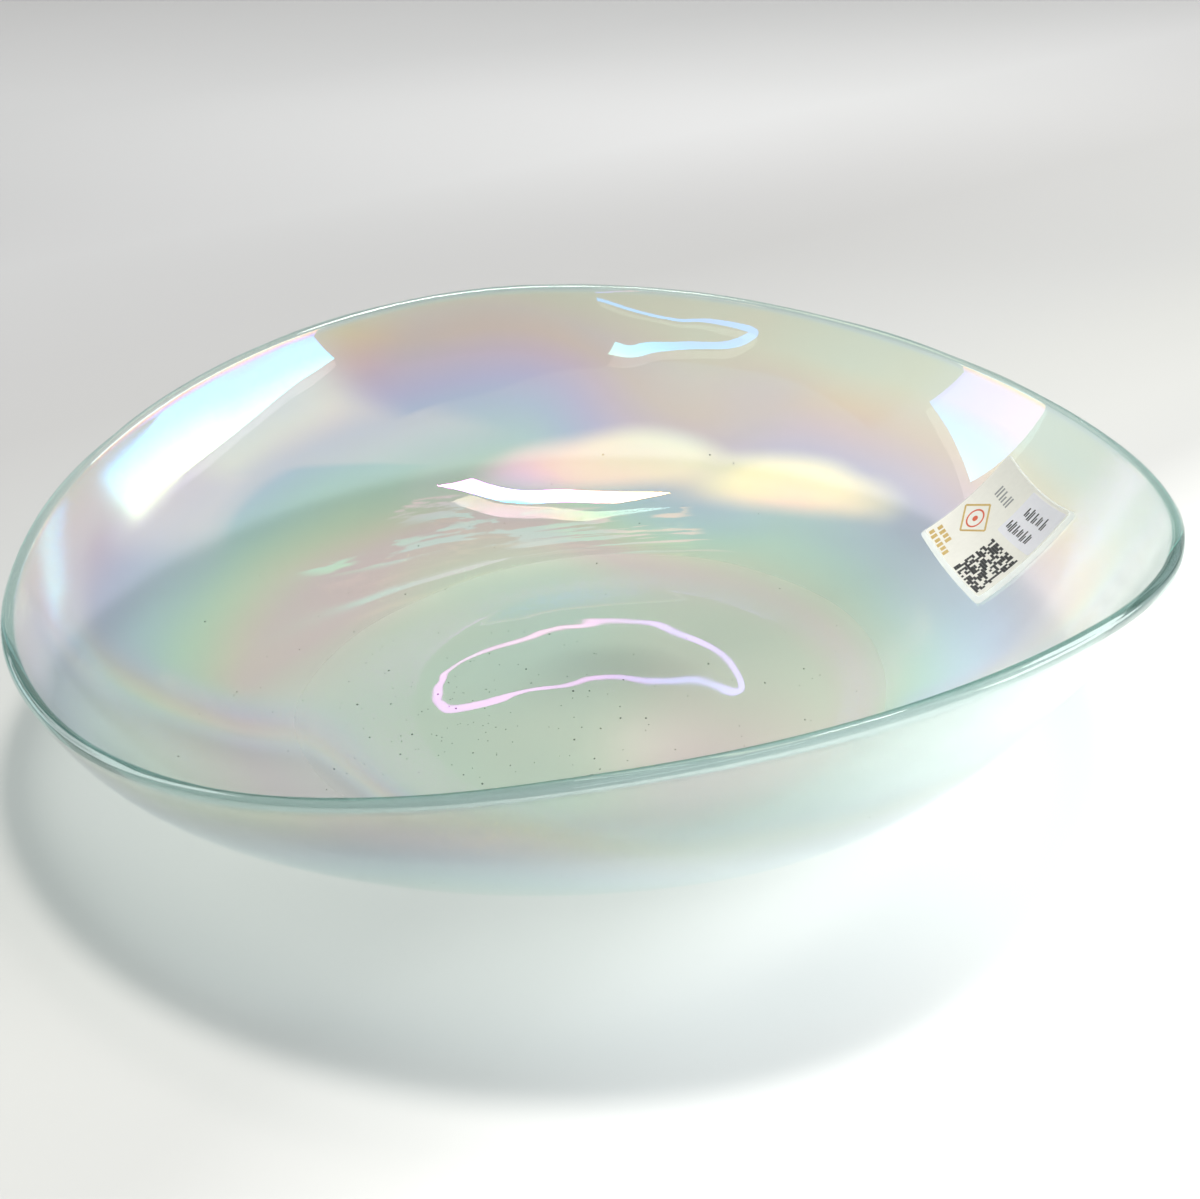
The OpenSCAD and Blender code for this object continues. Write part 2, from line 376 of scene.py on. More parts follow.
def glass_material():
    mat = bpy.data.materials.new("iridescent_glass")
    g = NT(mat)
    out = g.n("ShaderNodeOutputMaterial")
    p = g.n("ShaderNodeBsdfPrincipled")
    tc = g.n("ShaderNodeTexCoord")
    sep = g.n("ShaderNodeSeparateXYZ", inputs={0: tc.outputs["Object"]})
    side = g.n("ShaderNodeAttribute", attribute_name="side").outputs["Fac"]      # 0 at the floor, 1 at the rim
    lip = g.n("ShaderNodeAttribute", attribute_name="lip").outputs["Fac"]
    # that green shows less at the -X end, a painted highlight: the lip is paler where it catches the light there
    green = g.math("MULTIPLY", g.n("ShaderNodeAttribute", attribute_name="green").outputs["Fac"], g.smooth(sep.outputs["X"], -0.109, -0.070, 0.12, 1.0))
    height = g.math("ADD", g.math("MULTIPLY", sep.outputs["Z"], 0.3 * 1000 / 66.0), g.math("MULTIPLY", side, 0.7))
    # the coating thins earlier up the +X side
    height = g.math("ADD", height, g.smooth(sep.outputs["X"], -0.03, 0.035, 0.0, 0.2))
    spot = g.n("ShaderNodeVectorMath", operation="DISTANCE", inputs={0: tc.outputs["Object"], 1: (0.018, 0.077, 0.016)})
    height = g.math("ADD", height, g.smooth(spot.outputs["Value"], 0.012, 0.040, 0.11, 0.0))
    # slow drift of the coating, so that its bands waver
    drift = g.n("ShaderNodeTexNoise", noise_dimensions="3D",
                inputs={"Vector": tc.outputs["Object"], "Scale": 12.0, "Detail": 2.0, "Roughness": 0.45, "Distortion": 0.4})
    fine = g.n("ShaderNodeTexNoise", noise_dimensions="3D",
               inputs={"Vector": tc.outputs["Object"], "Scale": 60.0, "Detail": 3.0, "Roughness": 0.5})
    wander = g.math("SUBTRACT", drift.outputs["Fac"], 0.5)
    # coating thickness in nm: thin at the lip, thick at the floor
    d = g.ramp(height, [(0.0, (0.87,) * 3), (0.10, (0.88,) * 3), (0.19, (0.93,) * 3), (0.29, (0.97,) * 3), (0.38, (0.86,) * 3), (0.48, (0.77,) * 3),
                        (0.58, (0.72,) * 3), (0.68, (0.66,) * 3),
                        (0.76, (0.61,) * 3), (0.83, (0.56,) * 3), (0.90, (0.50,) * 3), (0.95, (0.46,) * 3), (1.0, (0.42,) * 3)])
    d = g.math("MULTIPLY", d, 300.0)
    d = g.math("ADD", d, g.math("MULTIPLY", wander, 70.0))
    d = g.math("ADD", d, g.math("MULTIPLY", g.math("SUBTRACT", fine.outputs["Fac"], 0.5), 8.0))
    coat = g.n("ShaderNodeAttribute", attribute_name="coat").outputs["Fac"]         # 1 on the inner face
    # sprayed from one side: it thins out on the -Y wall, and the outer face is all but bare
    away = g.math("MULTIPLY", g.smooth(sep.outputs["Y"], -0.010, -0.045), g.smooth(side, 0.10, 0.26))
    keep = g.math("MULTIPLY", g.math("ADD", g.math("MULTIPLY", coat, 0.96), 0.04), g.math("SUBTRACT", 1.0, g.math("MULTIPLY", away, 0.9)))
    d = g.math("MULTIPLY", d, g.math("MULTIPLY", g.math("SUBTRACT", 1.0, lip), keep))
    d = g.math("ADD", d, g.math("MULTIPLY", lip, 62.0))           # on the lip it is thin and silvery
    p.inputs["Thin Film IOR"].default_value = 2.2
    g.link(d, p.inputs["Thin Film Thickness"])
    # the coated glass's tint, in the same order of bands as the coating: partly its own pearly tint, partly painted
    # iridescent sheen laid into the glass colour; paler towards +X, which is painted light from that side
    hue = g.math("ADD", height, g.math("MULTIPLY", wander, 0.34))
    bands = g.ramp(hue, [(0.0, (0.95, 0.965, 0.94)), (0.13, (0.955, 0.95, 0.94)), (0.25, (0.94, 0.85, 0.905)), (0.34, (0.92, 0.91, 0.86)),
                         (0.43, (0.89, 0.96, 0.88)), (0.53, (0.85, 0.95, 0.94)), (0.63, (0.82, 0.88, 0.97)), (0.72, (0.89, 0.84, 0.95)),
                         (0.80, (0.96, 0.87, 0.88)), (0.88, (0.94, 0.92, 0.79)), (0.95, (0.86, 0.93, 0.92)), (1.0, (0.84, 0.94, 0.91))])
    # painted light: the glass colour pales towards +X, standing in for the strong light from that side
    painted_light_plus_x = g.ramp(g.math("ADD", g.math("MULTIPLY", sep.outputs["X"], 5.5), g.math("MULTIPLY", wander, 0.5)), [(0.05, (0.0,) * 3), (0.55, (0.62,) * 3)])
    tint = g.mix(painted_light_plus_x, bands, (0.955, 0.985, 0.97))
    tint = g.mix(lip, tint, (0.93, 0.97, 0.965))
    tint = g.mix(green, tint, (0.72, 0.87, 0.84))
    g.link(tint, p.inputs["Base Color"])
    rough = g.ramp(fine.outputs["Fac"], [(0.3, (0.0,) * 3), (0.75, (0.03,) * 3)])
    # the ground underside of the foot is a little matt
    foot = g.math("MULTIPLY", g.math("LESS_THAN", sep.outputs["Z"], 0.0018), g.math("SUBTRACT", 1.0, coat))
    rough = g.math("MAXIMUM", rough, g.math("MULTIPLY", foot, 0.28))
    # and the inner face is less glossy in the turn round the floor and over the near half
    turn = g.math("MULTIPLY", g.smooth(side, 0.0, 0.045), g.smooth(side, 0.09, 0.17, 1.0, 0.0))
    near = g.math("SUBTRACT", sep.outputs["Y"], g.math("MULTIPLY", g.math("ABSOLUTE", sep.outputs["X"]), 0.4))
    near = g.math("MULTIPLY", g.smooth(near, -0.012, 0.012, 1.0, 0.0), g.smooth(side, 0.0, 0.05))
    soft = g.math("MULTIPLY", coat, g.math("MULTIPLY", g.math("MAXIMUM", turn, near), 0.16))
    rough = g.math("MAXIMUM", rough, soft)
    g.link(rough, p.inputs["Roughness"])
    p.inputs["IOR"].default_value = 1.5
    p.inputs["Transmission Weight"].default_value = 1.0
    # shallow unevenness that only reflections show
    swirl = g.n("ShaderNodeTexNoise", noise_dimensions="3D",
                inputs={"Vector": tc.outputs["Object"], "Scale": 28.0, "Detail": 2.0, "Roughness": 0.4, "Distortion": 0.6})
    bump = g.n("ShaderNodeBump", inputs={"Height": swirl.outputs["Fac"], "Strength": 0.12, "Distance": 0.0006})
    g.link(bump.outputs["Normal"], p.inputs["Normal"])
    # lamps reach what is behind the glass, and the steep sides hold back more of their light
    lw = g.n("ShaderNodeLayerWeight", inputs={"Blend": 0.5})
    thru = g.ramp(lw.outputs["Facing"], [(0.0, (0.95, 0.96, 0.955)), (0.15, (0.89, 0.91, 0.91)), (0.3, (0.73, 0.765, 0.775)),
                                         (0.45, (0.48, 0.53, 0.56)), (0.6, (0.30, 0.34, 0.375)), (0.8, (0.22, 0.26, 0.29)), (1.0, (0.18, 0.22, 0.25))])
    clear = g.math("MAXIMUM", g.smooth(sep.outputs["Y"], -0.02, 0.05), g.smooth(sep.outputs["X"], 0.035, 0.085))
    thru = g.mix(g.math("MULTIPLY", clear, 0.5), thru, (0.94, 0.95, 0.95))
    lp = g.n("ShaderNodeLightPath")
    tr = g.n("ShaderNodeBsdfTransparent", inputs={"Color": g.mix(lp.outputs["Is Shadow Ray"], g.mix(green, g.mix(lip, (0.80, 0.875, 0.865), (0.96, 0.975, 0.97)), (0.64, 0.80, 0.765)), thru)})
    # light that has run along inside the wall for long leaves it straight on, as it would after many more turns
    fac = g.math("MAXIMUM", g.math("MAXIMUM", lp.outputs["Is Shadow Ray"], lp.outputs["Is Diffuse Ray"]),
                 g.math("GREATER_THAN", lp.outputs["Ray Depth"], 3.5))
    # the lip is lit from within by light that has run up the wall, so that it stays clear instead of turning black
    fac = g.math("MAXIMUM", fac, g.math("MULTIPLY", lip, 0.52))
    mx = g.n("ShaderNodeMixShader", inputs={0: fac, 1: p.outputs[0], 2: tr.outputs[0]})
    g.link(mx.outputs[0], out.inputs["Surface"])
    va = g.n("ShaderNodeVolumeAbsorption")
    va.inputs["Color"].default_value = (0.62, 0.88, 0.82, 1)
    va.inputs["Density"].default_value = 12.0
    g.link(va.outputs[0], out.inputs["Volume"])
    return mat


def paper_material(name, col, col2, rough=0.55, scale=900.0, coat=0.0, alpha=None):
    mat = bpy.data.materials.new(name)
    g = NT(mat)
    out = g.n("ShaderNodeOutputMaterial")
    p = g.n("ShaderNodeBsdfPrincipled")
    tc = g.n("ShaderNodeTexCoord")
    fib = g.n("ShaderNodeTexNoise", inputs={"Vector": tc.outputs["Object"], "Scale": scale, "Detail": 4.0, "Roughness": 0.65})
    cloud = g.n("ShaderNodeTexNoise", inputs={"Vector": tc.outputs["Object"], "Scale": 160.0, "Detail": 2.0})
    f = g.math("ADD", g.math("MULTIPLY", fib.outputs["Fac"], 0.6), g.math("MULTIPLY", cloud.outputs["Fac"], 0.4))
    c = g.ramp(f, [(0.3, col2), (0.7, col)])
    g.link(c, p.inputs["Base Color"])
    r = g.ramp(fib.outputs["Fac"], [(0.2, (rough - 0.08,) * 3), (0.8, (rough + 0.08,) * 3)])
    g.link(r, p.inputs["Roughness"])
    bump = g.n("ShaderNodeBump", inputs={"Height": fib.outputs["Fac"], "Strength": 0.15, "Distance": 0.00004})
    g.link(bump.outputs["Normal"], p.inputs["Normal"])
    p.inputs["Coat Weight"].default_value = coat
    p.inputs["Coat Roughness"].default_value = 0.15
    if alpha is not None:
        a = g.ramp(cloud.outputs["Fac"], [(0.3, (alpha - 0.05,) * 3), (0.7, (alpha + 0.05,) * 3)])
        g.link(a, p.inputs["Alpha"])
    g.link(p.outputs[0], out.inputs["Surface"])
    return mat


# ------------------------------------------------------------------ build the pieces
glass = glass_material()
bowl = make_bowl()
bowl.data.materials.append(glass)
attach(bowl, "root")
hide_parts("glass_bowl")

film = sheet("label_clear_film", LAB_W, LAB_H, LAB_C, 0, 0, GAP, FILM_T)
film.data.materials.append(paper_material("film_pp", (0.90, 0.91, 0.88), (0.86, 0.88, 0.86), rough=0.4, alpha=0.45))
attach(film, "root"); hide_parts("label_film")
PO = GAP + FILM_T + LAYER
panel = sheet("label_print_panel", LAB_W * 0.92, LAB_H * 0.93, 0.8, -LAB_W * 0.04 + 0.3, LAB_H * 0.035 - 0.3, PO, PANEL_T)
panel.data.materials.append(paper_material("cream_panel", (0.86, 0.85, 0.79), (0.80, 0.79, 0.73), rough=0.5))
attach(panel, "root"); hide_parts("label_panel")
SO = PO + PANEL_T + LAYER
LABEL = [film, panel]
strip = sheet("label_white_strip", LAB_W * 0.46, LAB_H * 0.38, 0.5, LAB_W * 0.19, LAB_H * 0.275, SO, PANEL_T, 20, 14)
strip.data.materials.append(paper_material("white_strip", (0.84, 0.84, 0.89), (0.78, 0.78, 0.84), rough=0.45))
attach(strip, "root"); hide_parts("label_serial_strip")
LABEL.append(strip)

# print: thin closed shapes of ink on the panel and the strip, in label units (u 0..1 along the lines, v 0..1 down)
PANEL_TOP = PO + PANEL_T
STRIP_TOP = SO + PANEL_T


def prints(name, shapes, mat):
    """shapes: lists of (u, v) corners, convex and in order, with the height of the face that they lie on."""
    verts, faces = [], []
    for pts, o in shapes:
        u = (np.array([q[0] for q in pts]) - 0.5) * LAB_W
        v = (0.5 - np.array([q[1] for q in pts])) * LAB_H
        area2 = sum(u[i] * v[(i + 1) % len(u)] - u[(i + 1) % len(u)] * v[i] for i in range(len(u)))
        if area2 < 0:
            u, v = u[::-1], v[::-1]
        n, b = len(u), len(verts)
        verts += list(label_pt(u, v, o + 0.012)) + list(label_pt(u, v, o + 0.034))
        faces.append(tuple(b + i for i in range(n - 1, -1, -1)))
        faces.append(tuple(b + n + i for i in range(n)))
        for i in range(n):
            k = (i + 1) % n
            faces.append((b + i, b + k, b + n + k, b + n + i))
    # shapes that abut become one closed shape: shared corners merge, and the walls between them go
    first, ids, kept = {}, [], []
    for q in verts:
        key = tuple(round(float(x), 7) for x in q)
        if key not in first:
            first[key] = len(kept)
            kept.append(q)
        ids.append(first[key])
    faces = [tuple(ids[i] for i in f) for f in faces]
    count = {}
    for f in faces:
        key = tuple(sorted(f))
        count[key] = count.get(key, 0) + 1
    faces = [f for f in faces if count[tuple(sorted(f))] == 1]
    ob = new_mesh(name, kept, faces, smooth=False)
    ob.data.materials.append(mat)
    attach(ob, "root")
    LABEL.append(ob)
    return ob


def ink(name, col, col2):
    return paper_material(name, col, col2, rough=0.42, scale=1400.0)


def bar(u0, v0, u1, v1, o):
    return [(u0, v0), (u1, v0), (u1, v1), (u0, v1)], o


def stroke(u0, v0, u1, v1, w, o):
    """A straight pen stroke w mm wide between two points in label units."""
    a, b = np.array([u0 * LAB_W, v0 * LAB_H]), np.array([u1 * LAB_W, v1 * LAB_H])
    t = (b - a) / np.linalg.norm(b - a)
    q = np.array([-t[1], t[0]]) * w / 2
    return [((c[0]) / LAB_W, (c[1]) / LAB_H) for c in (a - q, b - q, b + q, a + q)], o


def ring(cu, cv, ru, rv, w, o, n=28, a0=0.0, a1=360.0):
    """An arc of a ring as short strokes; radii in mm."""
    out = []
    for i in range(n):
        q = [math.radians(a0 + (a1 - a0) * k / n) for k in (i, i + 1)]
        pts = []
        for k, f in ((0, 1), (1, 1), (1, -1), (0, -1)):
            pts.append((cu + (ru + f * w / 2) * math.cos(q[k]) / LAB_W, cv + (rv + f * w / 2) * math.sin(q[k]) / LAB_H))
        out.append((pts, o))
    return out


rng = np.random.default_rng(11)
dark = []
# a made-up block of cells, with no finder edge, so that it reads as nothing
NC = 18
cu0, cv0, cu1, cv1 = 0.50, 0.49, 0.885, 0.925
grid = rng.random((NC, NC)) < 0.57
for r in range(NC):
    c = 0
    while c < NC:
        if not grid[r, c]:
            c += 1
            continue
        e = c
        while e < NC and grid[r, e]:
            e += 1
        dark.append(bar(cu0 + (cu1 - cu0) * c / NC, cv0 + (cv1 - cv0) * (r + 0.02) / NC,
                        cu0 + (cu1 - cu0) * e / NC, cv0 + (cv1 - cv0) * (r + 0.985) / NC, PANEL_TOP))
        c = e
# two rows of dashes on the strip, and one row on the panel
for v, us in ((0.165, (0.55, 0.60, 0.66, 0.72, 0.785)), (0.315, (0.50, 0.545, 0.60, 0.655, 0.71, 0.765))):
    for k, u in enumerate(us):
        h = 0.036 + 0.012 * ((k * 5) % 3) / 2
        dark.append(bar(u, v - h, u + 0.014, v + h, STRIP_TOP))
        dark.append(bar(u + 0.022, v - h * (0.2 + 0.5 * (k % 2)), u + 0.034, v + h, STRIP_TOP))
prints("label_print_dark", dark, ink("ink_dark", (0.030, 0.032, 0.034), (0.055, 0.057, 0.060)))
grey = []
for k, u in enumerate((0.165, 0.235, 0.305)):
    grey.append(bar(u, 0.17, u + 0.016, 0.26, PANEL_TOP))
    grey.append(bar(u + 0.030, 0.17 + 0.03 * (k % 2), u + 0.046, 0.26, PANEL_TOP))
prints("label_print_grey", grey, ink("ink_grey", (0.27, 0.28, 0.28), (0.36, 0.37, 0.37)))
gold = []
# an open rhombus
ru, rv = 0.215, 0.50
for k in range(4):
    a, b = math.radians(90 * k), math.radians(90 * k + 90)
    gold.append(stroke(ru + 0.165 * math.cos(a), rv + 0.165 * math.sin(a), ru + 0.165 * math.cos(b), rv + 0.165 * math.sin(b), 0.5, PANEL_TOP))
# two rows of short gold bars
for v, us in ((0.775, (0.055, 0.105, 0.155, 0.205)), (0.865, (0.045, 0.095, 0.15, 0.20, 0.25, 0.30))):
    for k, u in enumerate(us):
        gold.append(bar(u, v, u + 0.034, v + 0.055 + 0.01 * (k % 2), PANEL_TOP))
prints("label_print_gold", gold, ink("ink_gold", (0.52, 0.36, 0.11), (0.66, 0.50, 0.22)))
red = ring(ru, rv, 2.3, 2.3, 0.42, PANEL_TOP)
red += [([(ru + 0.75 / LAB_W * math.cos(math.radians(a)), rv + 0.75 / LAB_H * math.sin(math.radians(a))) for a in range(0, 360, 24)], PANEL_TOP)]
prints("label_print_red", red, ink("ink_red", (0.62, 0.10, 0.05), (0.72, 0.17, 0.09)))


for ob in LABEL:                                      # the thin film lets the lamps through
    ob.visible_shadow = False


# ------------------------------------------------------------------ seed bubbles in the glass, drawn as small solid specks whose dark grey is painted shade
def seeds():
    rs = np.random.default_rng(5)
    verts, faces = [], []
    phi = (1 + 5 ** 0.5) / 2
    ico = np.array([(-1, phi, 0), (1, phi, 0), (-1, -phi, 0), (1, -phi, 0), (0, -1, phi), (0, 1, phi), (0, -1, -phi), (0, 1, -phi),
                    (phi, 0, -1), (phi, 0, 1), (-phi, 0, -1), (-phi, 0, 1)]) / math.hypot(1, phi)
    tri = [(0, 11, 5), (0, 5, 1), (0, 1, 7), (0, 7, 10), (0, 10, 11), (1, 5, 9), (5, 11, 4), (11, 10, 2), (10, 7, 6), (7, 1, 8),
           (3, 9, 4), (3, 4, 2), (3, 2, 6), (3, 6, 8), (3, 8, 9), (4, 9, 5), (2, 4, 11), (6, 2, 10), (8, 6, 7), (9, 8, 1)]
    spots = []
    while len(spots) < 230:
        k = len(spots)
        if k < 150:                                   # a loose cloud to the left of the middle, towards the viewer
            x, y = -26 + 24 * rs.standard_normal(), -6 + 17 * rs.standard_normal()
        else:                                         # the rest, anywhere in the lower bowl
            q, rad = rs.uniform(0, 2 * math.pi), 92 * math.sqrt(rs.uniform(0.02, 1))
            x, y = rad * math.cos(q), rad * math.sin(q) + 5
        if math.hypot(x, y) > 96 or math.hypot(x - LAB_X, y - LAB_Y) < 24:
            continue
        spots.append((x, y))
    for x, y in spots:
        a, r = math.atan2(y, x), math.hypot(x, y)
        f = 1.0 - 0.02 * rs.random()                  # how far through the wall, from below: they break the inner face
        B = float(harm(BASE_R, a))
        if r < B:
            lo_z = float(kick(np.array(r)))
            c = np.array([x, y, lo_z + f * (WALL_BASE - lo_z)])
        else:
            lo, hi = 0.0, 1.0
            for _ in range(24):
                t = (lo + hi) / 2
                pa = controls(np.array(a))
                rr, zz, dr, dz = frame_at(pa, t)
                if rr - dz * wall(t) * f > r:
                    hi = t
                else:
                    lo = t
            c = np.array([x, y, float(zz + dr * wall(t) * f)])
        size = 0.12 + 0.15 * rs.random() ** 3
        sq = rs.uniform(0.75, 1.0)
        turn = rs.uniform(0, math.pi)
        m = np.array([[math.cos(turn), -math.sin(turn), 0], [math.sin(turn), math.cos(turn), 0], [0, 0, 1]])
        pts = (ico * np.array([1.0 / sq, sq, sq])) @ m.T * size + c
        b = len(verts)
        verts += list(to_m(pts[:, 0], pts[:, 1], pts[:, 2]))
        faces += [(b + i, b + j, b + k) for i, j, k in tri]
    ob = new_mesh("seed_bubbles", verts, faces)
    # painted shade: the seeds are opaque dark grey, in place of the dark that light gives an air bubble in glass
    mat = bpy.data.materials.new("seed_painted_shade")
    g = NT(mat)
    out = g.n("ShaderNodeOutputMaterial")
    p = g.n("ShaderNodeBsdfPrincipled")
    tc = g.n("ShaderNodeTexCoord")
    nz = g.n("ShaderNodeTexNoise", inputs={"Vector": tc.outputs["Object"], "Scale": 120.0, "Detail": 2.0})
    g.link(g.ramp(nz.outputs["Fac"], [(0.3, (0.05, 0.06, 0.055)), (0.7, (0.13, 0.14, 0.13))]), p.inputs["Base Color"])
    g.link(g.ramp(nz.outputs["Fac"], [(0.3, (0.3,) * 3), (0.7, (0.5,) * 3)]), p.inputs["Roughness"])
    g.link(p.outputs[0], out.inputs["Surface"])
    ob.data.materials.append(mat)
    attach(ob, "root")


seeds()

# ------------------------------------------------------------------ floor, lights, world, camera
def floor():
    n, R = 64, 4.0
    z = -0.0001                              # a hair below the foot, so that the two faces don't share a plane
    verts = [(0, 0, z)] + [(R * math.cos(2 * math.pi * i / n), R * math.sin(2 * math.pi * i / n), z) for i in range(n)]
    faces = [(0, 1 + i, 1 + (i + 1) % n) for i in range(n)]
    ob = new_mesh("floor", verts, faces, smooth=False)
    mat = bpy.data.materials.new("pale_floor")
    g = NT(mat)
    out = g.n("ShaderNodeOutputMaterial")
    p = g.n("ShaderNodeBsdfPrincipled")
    tc = g.n("ShaderNodeTexCoord")
    nz = g.n("ShaderNodeTexNoise", inputs={"Vector": tc.outputs["Object"], "Scale": 3.0, "Detail": 2.0})
    c = g.ramp(nz.outputs["Fac"], [(0.3, (0.97, 0.975, 0.97)), (0.7, (1.0, 1.0, 1.0))])
    # painted light: the table pales towards the light at the near right, with painted lighter and darker bands across
    # it
    sp = g.n("ShaderNodeSeparateXYZ", inputs={0: tc.outputs["Object"]})
    run = g.math("SUBTRACT", g.math("MULTIPLY", sp.outputs["X"], 1.2), g.math("MULTIPLY", sp.outputs["Y"], 0.7))
    run = g.math("SUBTRACT", run, g.math("MULTIPLY", g.math("MAXIMUM", sp.outputs["Y"], 0.0), 0.8))
    shade = g.ramp(g.math("MULTIPLY", g.math("ADD", run, 1.2), 0.5), [(0.014, (0.50, 0.51, 0.525)), (0.25, (0.575, 0.585, 0.60)), (0.35, (0.525, 0.53, 0.54)), (0.40, (0.51, 0.515, 0.52)),
                                              (0.50, (0.56, 0.57, 0.57)), (0.546, (0.59, 0.60, 0.59)), (0.58, (0.60, 0.61, 0.60)), (0.6075, (0.575, 0.585, 0.58)),
                                              (0.628, (0.67, 0.68, 0.675)), (0.6445, (0.80, 0.81, 0.81)), (0.6615, (0.90, 0.91, 0.91)), (0.68, (0.97, 0.975, 0.97)),
                                              (0.75, (0.95, 0.955, 0.95)), (0.81, (0.66, 0.665, 0.66)), (0.90, (0.46, 0.465, 0.46)), (1.0, (0.42, 0.425, 0.42))])
    # painted light: the far table is made paler, to make up for the lamps' falloff with distance
    far_painted_lift = g.smooth(sp.outputs["Y"], 0.28, 0.6, 1.0, 1.36)
    shade = g.mix(1.0, shade, g.n("ShaderNodeCombineColor", inputs={0: far_painted_lift, 1: far_painted_lift, 2: far_painted_lift}).outputs[0], "MULTIPLY")
    g.link(g.mix(1.0, c, shade, "MULTIPLY"), p.inputs["Base Color"])
    p.inputs["Roughness"].default_value = 0.6
    g.link(p.outputs[0], out.inputs["Surface"])
    ob.data.materials.append(mat)


floor()


def direction(az, el):
    a, e = math.radians(az), math.radians(el)
    return Vector((math.sin(a) * math.cos(e), math.cos(a) * math.cos(e), math.sin(e)))


def area(name, az, el, dist, w, h, power, colour=(1, 1, 1), shape="RECTANGLE", spin=0.0, mirrored=True, lights_table=True):
    li = bpy.data.lights.new(name, "AREA")
    li.shape = shape
    li.size, li.size_y = w, h
    li.energy = power
    li.color = colour
    ob = bpy.data.objects.new(name, li)
    d = direction(az, el)
    at = Vector((0, 0, 0.03)) + d * dist
    z = d                                    # the light shines along its -Z, towards the bowl
    x = Vector((0, 0, 1)).cross(z)
    if x.length < 1e-3:
        x = Vector((1, 0, 0))
    x.normalize()
    y = z.cross(x)
    m = Matrix((x, y, z)).transposed().to_4x4()
    m.translation = at
    ob.matrix_world = m @ Matrix.Rotation(math.radians(spin), 4, "Z")
    ob.visible_camera = False
    ob.visible_glossy = ob.visible_transmission = mirrored
    ob.visible_diffuse = lights_table
    COL.objects.link(ob)
    return ob


# two soft lamps that only light the table and cast the bowl's shadow, and two windows that its sides mirror
area("lamp_strip", 36, 71.5, 1.5, 0.47, 0.09, 3.2, (1.0, 0.985, 1.0))
area("lamp_overhead", 82, 82.6, 1.5, 0.22, 0.22, 16.0, (1.0, 0.99, 0.975), "ELLIPSE", mirrored=False)
area("lamp_near_right", 122, 36, 0.56, 0.3, 0.3, 1.7, (1.0, 1.0, 0.99), mirrored=False)
area("window_right", 88, 22, 1.6, 1.35, 0.62, 8.5, (1.0, 0.99, 0.985), lights_table=False)
area("window_left", -72, 24, 1.6, 0.85, 0.7, 3.9, (0.97, 0.965, 1.0), lights_table=False)


def loop_lamp(name, pts, width, strength, colour, closed=True):
    """A bent tube lamp, as a ribbon that faces the bowl; the camera doesn't see it."""
    P = [np.array(q) for q in pts]
    n = len(P)
    out = []
    steps = n if closed else n - 1
    for i in range(steps):
        if closed:
            p0, p1, p2, p3 = P[i - 1], P[i], P[(i + 1) % n], P[(i + 2) % n]
        else:
            p0, p1, p2, p3 = P[max(i - 1, 0)], P[i], P[i + 1], P[min(i + 2, n - 1)]
        for k in range(5):
            t = k / 5
            out.append(0.5 * (2 * p1 + (p2 - p0) * t + (2 * p0 - 5 * p1 + 4 * p2 - p3) * t * t + (3 * p1 - p0 - 3 * p2 + p3) * t ** 3))
    if not closed:
        out.append(P[-1])
    Q = np.array(out)
    m = len(Q)
    tan = (np.roll(Q, -1, 0) - np.roll(Q, 1, 0)) if closed else np.gradient(Q, axis=0)
    look = Q - np.array([0, 0, 0.01])
    sidev = np.cross(tan, look)
    sidev /= np.linalg.norm(sidev, axis=1, keepdims=True)
    w = np.asarray(width) if np.ndim(width) else np.full(n, width)
    w = np.interp(np.arange(m) / m * n, np.arange(n + 1), np.append(w, w[0] if closed else w[-1]))[:, None]
    verts = np.concatenate([Q - sidev * w / 2, Q + sidev * w / 2])
    faces = [(i, (i + 1) % m, m + (i + 1) % m, m + i) for i in range(m if closed else m - 1)]
    ob = new_mesh(name, verts, faces, smooth=False)
    mat = bpy.data.materials.new(name)
    g = NT(mat)
    em = g.n("ShaderNodeEmission", inputs={"Color": (*colour, 1.0), "Strength": strength})
    g.link(em.outputs[0], g.n("ShaderNodeOutputMaterial").inputs["Surface"])
    ob.data.materials.append(mat)
    ob.visible_camera = False
    ob.visible_diffuse = False


loop_lamp("lamp_loop_far", [(-0.125, 0.733, 0.500), (-0.111, 0.759, 0.484), (-0.077, 0.777, 0.474), (-0.032, 0.787, 0.469), (0.032, 0.790, 0.467),
                            (0.066, 0.779, 0.473), (0.100, 0.764, 0.482), (0.113, 0.747, 0.492), (0.106, 0.743, 0.496), (0.080, 0.749, 0.493),
                            (0.046, 0.750, 0.494), (0.007, 0.753, 0.492), (-0.031, 0.748, 0.496), (-0.070, 0.735, 0.503), (-0.108, 0.725, 0.508),
                            (-0.120, 0.725, 0.507)],
          [0.006, 0.003, 0.0028, 0.0028, 0.003, 0.0032, 0.0035, 0.0045, 0.0045, 0.005, 0.0035, 0.003, 0.003, 0.0035, 0.006, 0.007],
          2.4, (1.0, 0.98, 1.0))
loop_lamp("lamp_loop_near", [(0.214, -0.633, 0.513), (0.092, -0.648, 0.528), (-0.029, -0.638, 0.547), (-0.144, -0.618, 0.550), (-0.236, -0.573, 0.568),
                             (-0.266, -0.549, 0.585), (-0.244, -0.534, 0.611), (-0.193, -0.531, 0.637), (-0.079, -0.546, 0.653), (0.067, -0.541, 0.665),
                             (0.145, -0.514, 0.679), (0.207, -0.515, 0.661)],
          [0.012, 0.012, 0.014, 0.018, 0.026, 0.03, 0.04, 0.045, 0.04, 0.05, 0.07, 0.07], 2.4, (0.96, 0.99, 1.0), closed=False)

# the studio round the bowl: a pale ceiling, a dim room behind the viewer and a dark, soft shape on the far right
w = bpy.data.worlds.new("studio")
SC.world = w
wg = NT(w)
geo = wg.n("ShaderNodeTexCoord")
sx = wg.n("ShaderNodeSeparateXYZ", inputs={0: geo.outputs["Generated"]})
AZ = wg.math("MULTIPLY", wg.math("ARCTAN2", sx.outputs["X"], sx.outputs["Y"]), 57.2958)
ELV = wg.math("MULTIPLY", wg.math("ARCSINE", sx.outputs["Z"]), 57.2958)


